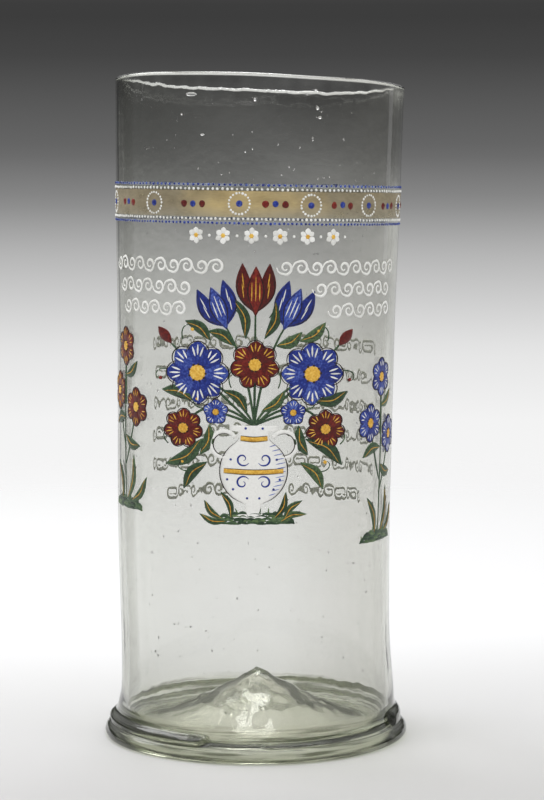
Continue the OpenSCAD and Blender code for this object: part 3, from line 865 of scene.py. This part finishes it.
def gildingMaterial():
    material, start = newMaterial("wornGilding")
    worn = start.speckle(90.0, 5.0, (1, 1, 1.6))
    scratches = start.speckle(420.0, 4.0, (1, 1, 4))
    gone = (worn * 0.8 + scratches * 0.2).within(0.4, 0.66)
    patches = start.speckle(48.0, 3.0).within(0.55, 0.75)
    place = start.place()
    # painted sheen: the leaf is painted brighter round a spot at the front of the band, beside brighter
    # patches at random
    golden = (1 - place.distance(bandShape["golden"]).within(0.008, 0.032)) * 0.7 + patches * 0.4
    leaf = golden.within(0, 1).blend(colour(160, 149, 124), colour(222, 198, 140))
    rubbed = 1 - place.axis("Z").within(0.2345, 0.2395)
    leaf = (rubbed * 0.55).blend(leaf, colour(186, 183, 170))
    metal = start.node("BsdfPrincipled", {
        "Base Color": leaf, "Metallic": 0.2, "Roughness": scratches * 0.3 + 0.4,
    })
    bare = start.node("BsdfTransparent", {"Color": (0.90, 0.86, 0.76, 1)})
    start.output((0.74 - gone * 0.3 - rubbed * 0.16).between(bare, metal))
    return material


def washMaterial():
    material, start = newMaterial("blueWash")
    smear = start.speckle(130.0, 4.0).within(0.4, 0.62)
    paint = start.node("BsdfPrincipled", {"Base Color": colour(168, 176, 196), "Roughness": 0.45})
    clear = start.node("BsdfTransparent")
    start.output((smear * 0.3 + 0.12).between(clear, paint))
    return material


def spinBand(line, name):
    ring = spinProfile(line + line[:1], name, bandShape["segments"])
    points = readPoints(ring) / mm
    turn = np.radians(frontAngle(points))
    writePoints(ring, settled(np.hypot(points[:, 0], points[:, 1]), turn, points[:, 2]))
    bpy.ops.object.shade_smooth_by_angle(angle=radians(40))
    return ring


def makeBand():
    b = bandShape
    levels = np.linspace(b["low"], b["high"], 5)
    line = [(wallRadius(z) + b["thick"], z) for z in levels]
    line += [(wallRadius(z) - paintBite / 2, z) for z in levels[::-1]]
    finishPiece(spinBand(line, "gilding"), gildingMaterial(), "gilding", "gilt_band")
    washes = []
    half, out = b["wash"]
    for side in (-1, 1):
        middle = bandMiddle + side * (b["blueOffset"] - 0.1)
        low, high = middle - half, middle + half
        line = []
        for z, away in ((low, out), (high, out), (high, -out), (low, -out)):
            line.append((wallRadius(z) + away, z))
        washes.append(spinBand(line, "wash"))
    finishPiece(joinAll(washes, "blue-wash"), washMaterial(), "blue_enamel")


def makePearls():
    b = bandShape
    for node, shade, side, count in b["rows"]:
        wide, high = b[shade + "Pearl"]
        for i in range(count):
            size = wide * roll(0.82, 1.08)
            nudge = (roll(-0.16, 0.16), roll(-0.12, 0.12))
            place = (360 * i / count, bandMiddle + side * b[shade + "Offset"])
            tall = size * roll(0.92, 1.08)
            addDab(node, place, nudge, size, tall, high * roll(0.85, 1.1), roll(-0.4, 0.4))
        makeUpLayer(node, shade)


def makeMedallions():
    b = bandShape
    radius, count, wide, high = b["ring"]
    eyeWide, eyeHigh = b["eye"]
    redWide, redHigh = b["redDrop"]
    blueWide, blueHigh = b["blueDrop"]
    angles = b["medallions"]
    for k, angle in enumerate(angles):
        place = (angle + roll(-0.3, 0.3), bandMiddle + roll(-0.25, 0.25))
        for i in range(count):
            turn = 2 * pi * (i + roll(-0.12, 0.12)) / count
            size = wide * roll(0.8, 1.1)
            at = (radius * sin(turn), radius * cos(turn))
            pearlHigh = high * roll(0.85, 1.1)
            addDab("medallion_pearls", place, at, size, size, pearlHigh, roll(-0.3, 0.4))
        addDab("medallion_eyes", place, (0, 0), eyeWide, eyeWide * 0.97, eyeHigh, roll(-0.3, 0.1))
        after = angles[(k + 1) % len(angles)]
        place = (angle + ((after - angle) % 360) / 2, bandMiddle)
        for side in (-1, 1):
            at = (side * b["dropStep"] + roll(-0.2, 0.2), roll(-0.3, 0.3))
            dropWide = redWide * roll(0.85, 1)
            addDab("red_drops", place, at, dropWide, redWide, redHigh, roll(-0.2, 0.4),
                   point=roll(-0.2, 0.25))
        at = (0, roll(-0.3, 0.3))
        addDab("blue_drops", place, at, blueWide, blueWide * 1.05, blueHigh, 0.1)
    makeUpLayer("medallion_pearls", "white")
    makeUpLayer("medallion_eyes", "blue")
    makeUpLayer("red_drops", "red")
    makeUpLayer("blue_drops", "blue")


makeBand()
makePearls()
makeMedallions()
print("band done")


# daisies under the band, and rows of curls

daisyShape = {
    "z": bandMiddle - 13.4, "r": 3.6, "count": 6, "petals": 6, "petalWide": 2.5,
    "first": -24.0, "step": 11.0, "dot": 1.3, "heart": 2.2,
}
curlShape = {
    "r": 2.9, "pitch": 6.9, "wide": 1.2, "backWide": 1.5, "turn": 410.0, "close": 0.72, "tip": 0.4,
    "thick": 0.3,
    "front": bandMiddle - 26.6, "frontStep": 9.2, "back": bandMiddle - 66.0, "backStep": 14.0,
    "left": [(-72, 10), (-67, 7), (-63, 6)],  # angle of the row's end, and its number of curls
    "right": [(68, 10), (64, 7), (65, 6)],
    "backRows": [[(114, 9), (122, 8), (116, 9), (120, 8), (114, 9), (124, 7)],
                 [(181, 9), (183, 8), (186, 8), (182, 9), (188, 8), (183, 7)]],
}


def makeDaisies():
    d = daisyShape
    for i in range(d["count"]):
        place = (d["first"] + i * d["step"], d["z"])
        for k in range(d["petals"]):
            way = 90 + 360 * k / d["petals"] + roll(-5, 5)
            spine = [polar((0, 0), 0.7, way), polar((0, 0), d["r"] * roll(0.92, 1.02), way)]
            widths = scaled(petalWidths, d["petalWide"] * roll(0.85, 1.05))
            addStroke("daisy_row", place, spine, widths, tone=roll(-0.4, 0.4), unit="petal")
        addDab("flower_hearts", place, (0, 0), d["heart"], d["heart"], 0.5, roll(-0.3, 0.3))
        place = (d["first"] + (i + 0.5) * d["step"], d["z"])
        addDab("daisy_row", place, (0, 0), d["dot"], d["dot"], 0.4)
    makeUpLayer("daisy_row", "white", "daisies")


def curlStep(z):
    return degrees(curlShape["pitch"] / wallRadius(z))


def addRow(layer, first, count, z, wide):
    c = curlShape
    step = curlStep(z)
    for i in range(count):
        flip = -1 if i % 2 else 1
        spine = []
        for turn in np.radians((0.0, 45.0)):
            spine.append(((c["r"] - c["pitch"]) * cos(turn), -c["r"] * sin(turn) * flip))
        for t in np.linspace(0, 1, 17):
            turn = radians(c["turn"] * t - 90)
            r = c["r"] * (1 - c["close"] * t)
            spine.append((r * cos(turn), r * sin(turn) * flip))
        swell = []
        for t in np.linspace(0, 1, 14):
            swell.append(c["tip"] + (1 - c["tip"]) * sin(pi * t) * roll(0.8, 1.1))
        addStroke(layer, (first + i * step, z), spine, scaled(swell, wide), c["thick"],
                  tone=roll(-0.3, 0.3), unit="long")


def makeFlourishes():
    c = curlShape
    for side in ("left", "right"):
        layer = "flourishes_" + side
        for i, (end, count) in enumerate(c[side]):
            z = c["front"] - i * c["frontStep"]
            back = (count - 1) * curlStep(z) if side == "right" else 0
            addRow(layer, end - back, count, z, c["wide"])
        makeUpLayer(layer, "white")
    for rows in c["backRows"]:
        for i, (first, count) in enumerate(rows):
            addRow("flourishes_back", first, count, c["back"] - i * c["backStep"], c["backWide"])
    makeUpLayer("flourishes_back", "white")


makeDaisies()
makeFlourishes()
print("daisies and flourishes done")


# flowers, leaves and the vase: each is laid in with broad strokes, then drawn over with fine ones

fineLayers = {"blue": "white_lines", "red": "yellow_lines"}
petalThick = 0.34


def addBlossom(layer, place, at, r, petals, shade, tone=0.0):
    fine = fineLayers[shade]
    wide = 2 * r * sin(pi / petals) * 0.86
    for k in range(petals):
        way = 90 + 360 * k / petals + roll(-2, 2)
        long = r * roll(0.97, 1.02)
        bent = way + roll(-2, 2)
        spine = [polar(at, r * 0.16, way), polar(at, r * 0.55, bent), polar(at, long, way)]
        petalTone = tone + roll(-0.25, 0.25)
        addStroke(layer, place, spine, scaled(petalWidths, wide), petalThick, tone=petalTone, unit="petal")
        for aside in (-0.32, 0.0, 0.32):
            bend = degrees(aside * wide / r)
            root = polar(at, r * roll(0.52, 0.6), way + bend * 0.7)
            tip = polar(at, r * (0.9 - abs(aside) * 0.2), way + bend)
            addLine(fine, place, [root, tip], r * 0.055, 0.12, petalThick, roll(-0.6, 0.2))
        middle = polar(at, r * 0.64, way)
        edge = [polar(middle, r * 0.36, way + turn) for turn in np.linspace(-118, 118, 9)]
        addLine("dark_lines", place, edge, 0.42, 0.14, 0.2, roll(-0.5, 0.5), "long")
    addDab("flower_hearts", place, at, r * 0.56, r * 0.56, 0.55, roll(-0.2, 0.2), lift=0.1)
    for k in range(9):
        way = 40 * k + roll(-6, 6)
        addDab("dark_lines", place, polar(at, r * 0.27, way), r * 0.075, r * 0.075, 0.14, 0.4, lift=0.42)


def addLeaf(layer, place, base, tip, wide, bow=0.12):
    base, tip = np.array(base, float), np.array(tip, float)
    way = tip - base
    side = np.array([-way[1], way[0]]) * bow * dice.choice((-1, 1))
    middle = (base + tip) / 2
    spine = [base, middle + side, tip]
    leafTone = roll(-0.35, 0.35)
    addStroke(layer, place, spine, scaled(lensWidths, wide), 0.32, tone=leafTone, unit="petal")
    rib = [base + way * 0.08, middle + side * 0.97, base + way * 0.9]
    addLine("yellow_lines", place, rib, 0.42, 0.12, 0.3, -0.4)
    across = np.array([-way[1], way[0]]) / np.linalg.norm(way)
    for t in (0.3, 0.48, 0.66):
        root = base + way * t + side * (1 - (2 * t - 1) ** 2)
        for flip in (-1, 1):
            end = root + way * 0.14 + across * flip * wide * 0.3
            addLine("dark_lines", place, [root, end], 0.26, 0.1, 0.28, 0.2)


def addTulip(layer, place, at, h, w, lean, shade):
    fine = fineLayers[shade]
    at = np.array(at, float)
    up = np.array([sin(radians(lean)), cos(radians(lean))])
    across = np.array([up[1], -up[0]])
    for flip in (-1, 1):
        out = across * flip * w
        tip = at + up * h + out * 0.42
        belly = at + up * h * 0.45 + out * 0.34
        petalTone = -0.3 + roll(-0.1, 0.2)
        addStroke(layer, place, [at, belly, tip], scaled(lensWidths, w * 0.5), tone=petalTone, unit="petal")
        rim = [at, at + up * h * 0.4 + out * 0.56, tip]
        addLine("dark_lines", place, rim, 0.42, 0.14, 0.16, unit="long")
        for t in (0.3, 0.5):
            low = at + up * h * t + out * 0.36
            addLine(fine, place, [low, low + up * h * 0.3 + out * 0.06], 0.5, 0.12, 0.3, -0.3)
    low = at - up * h * 0.06
    widths = scaled(lensWidths, w * 0.52)
    addStroke(layer, place, [low, low + up * h], widths, 0.42, tone=0.25, unit="petal")
    for flip in (-1, 1):
        edge = [low, low + up * h * 0.5 + across * flip * w * 0.25, low + up * h]
        addLine("dark_lines", place, edge, 0.4, 0.12, 0.26, unit="long")
    for aside in (-0.12, 0.0, 0.12):
        root = low + up * h * 0.3 + across * w * aside
        addLine(fine, place, [root, root + up * h * (0.5 - abs(aside))], 0.5, 0.12, 0.4, -0.2)


def addStem(layer, place, start, via, end, wide=1.1):
    start, via, end = np.array(start, float), np.array(via, float), np.array(end, float)
    spine = [(1 - t) ** 2 * start + 2 * t * (1 - t) * via + t * t * end for t in np.linspace(0, 1, 9)]
    widths = scaled([0.8, 1, 1, 0.9, 0.7], wide)
    addStroke(layer, place, spine, widths, 0.26, tone=roll(-0.3, 0.1), unit="long")


def addGround(layer, place, w, h, low):
    rows = 5
    for row in range(rows):
        y = low + h * (row + 0.4) / (rows + 0.2)
        reach = w / 2 * sqrt(max(0.08, 1 - (row / rows) ** 2))
        x = -reach
        while x < reach - 1.5:
            long = min(roll(4, 8), reach - x)
            spine = [(x, y - 0.3), (x + long / 2, y + roll(0.1, 0.7)), (x + long, y - 0.4)]
            widths = scaled(lensWidths, roll(1.2, 1.9))
            addStroke(layer, place, spine, widths, 0.26, tone=roll(-0.8, 0.7))
            x += long * 0.72
    for k in range(int(w / 2.2)):
        x = roll(-w / 2 * 0.9, w / 2 * 0.9)
        y = low + h * (1 - (2 * x / w) ** 2) * roll(0.5, 0.95)
        tip = (x + roll(-1.4, 1.4), y + roll(1.6, 3.4))
        addLine(layer, place, [(x, y), tip], 0.7, 0.24, 0.0, roll(-0.5, 0.9))


bouquetShape = {  # places are on the right, and mirrored to the left
    "place": (0.0, bandMiddle - 134.0),
    "rose": ((0, 66), 10.5, 7, "red"),
    "blossoms": [((24.5, 62), 13.5, 8, "blue", 0.0), ((30.5, 38), 8.5, 7, "red", 0.0),
                 ((16.5, 45.5), 5.5, 5, "blue", 0.2)],
    "redTulip": ((0, 88), 21, 14), "blueTulip": ((12.5, 82), 19, 14, 22), "bud": ((36, 74), 9, 40),
    "mouth": (0, 40),
    "stems": [((6, 52), (24.5, 62)), ((3, 66), (12.5, 82)), ((20, 56), (30.5, 38)), ((8, 44), (16.5, 45.5)),
              ((26, 64), (36, 74))],
    "leaves": [((3, 46), (13, 55), 4.5), ((9, 74), (20, 80), 5), ((4, 77), (9, 94), 4.5),
               ((19, 76), (30, 84), 5), ((19, 40), (23, 27), 5), ((26, 50), (40, 54), 5.5),
               ((22, 34), (38, 22), 6), ((20, 24), (30, 12), 5)],
    "tendrils": [  # root, way it sets off in degrees, length, how far it winds, berry
        ((10, 56), 62, 17, 260, "red_flowers"), ((31, 76), 70, 13, 240, "flower_hearts"),
        ((38, 63), 8, 11, -250, "red_flowers"), ((22, 47), -4, 9, 220, "flower_hearts"),
        ((37, 31), 35, 10, 240, "red_flowers"), ((27, 20), -20, 12, 260, "flower_hearts"),
        ((6, 86), 66, 16, -230, "flower_hearts")],
    "tendrilWide": 0.55,
    "berry": 1.7,
    "blades": [((9, 2), (14, 14), 3), ((13, 2), (21, 10), 3), ((11, 1), (23, 4), 3)],
    "ground": (36, 5, -2.5),
}


def addTendril(place, flip, root, way, length, wind, berry):
    b = bouquetShape
    steps = 15
    spine = []
    x, y = root
    for t in np.linspace(0, 1, steps):
        spine.append((x * flip, y))
        way += wind / steps * (0.35 + 1.3 * t)
        x, y = polar((x, y), length / steps * (1.25 - 0.75 * t), way)
    widths = scaled([1, 1, 0.9, 0.8, 0.6, 0.4], b["tendrilWide"])
    addStroke("stems", place, spine, widths, 0.2, tone=roll(-0.3, 0.3), unit="long")
    addDab(berry, place, spine[-1], b["berry"], b["berry"], 0.42, roll(-0.2, 0.3))
    besideX, besideY = spine[6]
    addDab("white_lines", place, (besideX + 0.7, besideY + 0.7), 0.7, 0.7, 0.24)


def mirrored(point, flip, up=0):
    return (point[0] * flip, point[1] + up)


def makeBouquet():
    b = bouquetShape
    place = b["place"]
    addStem("stems", place, b["mouth"], (0, 64), b["redTulip"][0])
    for flip in (-1, 1):
        for via, end in b["stems"]:
            addStem("stems", place, b["mouth"], mirrored(via, flip), mirrored(end, flip))
        for base, tip, wide in b["leaves"]:
            addLeaf("leaves", place, mirrored(base, flip), mirrored(tip, flip), wide)
        for tendril in b["tendrils"]:
            addTendril(place, flip, *tendril)
        low = b["ground"][2]
        for base, tip, wide in b["blades"]:
            addLeaf("ground", place, mirrored(base, flip, low), mirrored(tip, flip, low), wide)
        for at, r, petals, shade, tone in b["blossoms"]:
            addBlossom(shade + "_flowers", place, mirrored(at, flip), r, petals, shade, tone)
        at, h, w, lean = b["blueTulip"]
        addTulip("blue_flowers", place, mirrored(at, flip), h, w, lean * flip, "blue")
        at, h, lean = b["bud"]
        bud = [mirrored(at, flip), polar(mirrored(at, flip), h, 90 - lean * flip)]
        addStroke("red_flowers", place, bud, scaled(lensWidths, h * 0.5), petalThick, unit="petal")
    addBlossom("red_flowers", place, *b["rose"])
    at, h, w = b["redTulip"]
    addTulip("red_flowers", place, at, h, w, 0.0, "red")
    addGround("ground", place, *b["ground"])
    for layer in ("stems", "leaves", "ground"):
        makeUpLayer(layer, "green")
    for shade in ("blue", "red"):
        makeUpLayer(shade + "_flowers", shade)


vaseShape = {
    "high": 40.0, "foot": (17.0, 2.0), "stem": 6.5, "belly": (20.5, 14.5), "neck": 13.0, "lip": (21.0, 2.4),
    "handle": (6.5, 1.8, 12.7, 31.75),  # radius, width of the stroke, and where its middle is
    "handleFrom": (degrees(-2.4), degrees(2.6)), "innerFrom": (degrees(-1.7), degrees(2.2)),
    "hoops": [(20.5, 25.4), (34.6, 11.5)], "hoopWide": 1.8, "hoopSag": 0.5, "hoopEdge": 1.05,
    "curl": (4.6, 25.6, 3.1),  # middle and radius
    "curlHeights": 41.0,  # of the curl and its mirror image below, added up
    "dots": [(9.8, 25.4), (11.2, 16.8), (8.6, 12.6), (2.6, 8.8), (3.6, 38.8)], "dot": 1.1,
}


def vaseWidth(y):
    v = vaseShape
    middle, r = v["belly"]
    wide = v["stem"] if y < middle else v["neck"]
    if abs(y - middle) < r:
        wide = max(wide, 2 * sqrt(r * r - (y - middle) ** 2))
    if y < v["foot"][1]:
        wide = v["foot"][0]
    if y > v["high"] - v["lip"][1]:
        wide = v["lip"][0]
    return wide


def addHoop(place, y, wide):
    v = vaseShape
    spine = [(-wide / 2, y), (0, y - v["hoopSag"]), (wide / 2, y)]
    addStroke("vase_hoops", place, spine, [v["hoopWide"]] * 5, 0.22, petalThick, unit="long")
    for off in (-v["hoopEdge"], v["hoopEdge"]):
        edge = [(x, height + off) for x, height in spine]
        addLine("dark_lines", place, edge, 0.35, 0.1, 0.36, unit="long")


def makeVase():
    v = vaseShape
    place = bouquetShape["place"]
    widths = [vaseWidth(y) for y in np.linspace(0, v["high"], 181)]
    addStroke("vase", place, [(0, 0), (0, v["high"])], widths, petalThick, unit="vase")
    r, wide, out, up = v["handle"]
    curlX, curlY, curlR = v["curl"]
    for flip in (-1, 1):
        loop = arc((flip * out, up), flip * (r - wide / 2), r - wide / 2, *v["handleFrom"], 15)
        addStroke("vase", place, loop, [wide] * 5, unit="long")
        inner = arc((flip * out, up), flip * (r - wide), r - wide, *v["innerFrom"], 13)
        addLine("dark_lines", place, inner, 0.4, 0.14, 0.12, unit="long")
        side = [(flip * vaseWidth(y) / 2, y) for y in np.linspace(6.6, 34.5, 17)]
        addLine("dark_lines", place, side, 0.45, 0.14, 0.12, unit="long")
        # sprays on the belly: curls and dots
        curl = []
        for t in np.linspace(0, 1, 15):
            x, y = polar((curlX, curlY), curlR * (1 - 0.8 * t), degrees(7 * t - 2.6))
            curl.append((flip * x, y))
        for line in (curl, [(x, v["curlHeights"] - y) for x, y in curl]):
            addLine("blue_lines", place, line, 0.8, 0.14, 0.32, unit="long")
        for at in v["dots"]:
            addDab("blue_lines", place, mirrored(at, flip), v["dot"], v["dot"], 0.2, lift=0.3)
    for y, wide in v["hoops"]:
        addHoop(place, y, wide)
    for y in np.linspace(10, 31, 12):
        reach = vaseWidth(y) / 2
        addLine("blue_lines", place, [(reach * 0.66, y), (reach * 0.95, y + 0.8)], 0.32, 0.1, 0.3, 0.6)
    makeUpLayer("vase", "white")
    makeUpLayer("vase_hoops", "yellow")


plantShape = {
    "blossoms": [(0, -7), (-9, -27), (10, -33)], "r": 8.5, "petals": 6,  # from the stem's top
    "leaves": [((0, -20), (11, -13), 4.5), ((0, -38), (-14, -42), 5), ((0, -46), (13, -50), 5)],
    "blades": [((2, 3), (8, 24), 4), ((-3, 3), (-10, 20), 4), ((6, 3), (18, 15), 4)],
    "ground": (30, 5, 0),
    "left": (-66.0, bandMiddle - 134.0, 78.0, "red"),  # angle, height of its ground, its own height
    "right": (63.0, bandMiddle - 148.0, 80.0, "blue"),
}


def makePlants():
    p = plantShape
    for side in ("left", "right"):
        angle, z, h, shade = p[side]
        place = (angle, z)
        leaves, ground, flowers = side + "_leaves", side + "_ground", side + "_flowers"
        addStem(leaves, place, (0, p["ground"][1]), (roll(-2, 2), h / 2), (0, h))
        for x, y in p["blossoms"]:
            low = h + y - 2 * p["r"]
            addStem(leaves, place, (0, low - p["r"]), (x / 2, low), (x, h + y))
            addBlossom(flowers, place, (x, h + y), p["r"], p["petals"], shade)
        for base, tip, wide in p["leaves"]:
            addLeaf(leaves, place, (base[0], base[1] + h), (tip[0], tip[1] + h), wide)
        for base, tip, wide in p["blades"]:
            addLeaf(ground, place, base, tip, wide)
        addGround(ground, place, *p["ground"])
        makeUpLayer(leaves, "green")
        makeUpLayer(ground, "green")
        makeUpLayer(flowers, shade)


makeBouquet()
makeVase()
makePlants()
makeUpLayer("flower_hearts", "yellow")
for paintShade in ("white", "yellow", "blue", "dark"):
    makeUpLayer(paintShade + "_lines", paintShade, replacing=False)
for unitObj in paintUnits.values():
    bpy.data.objects.remove(unitObj)
print("painting done")
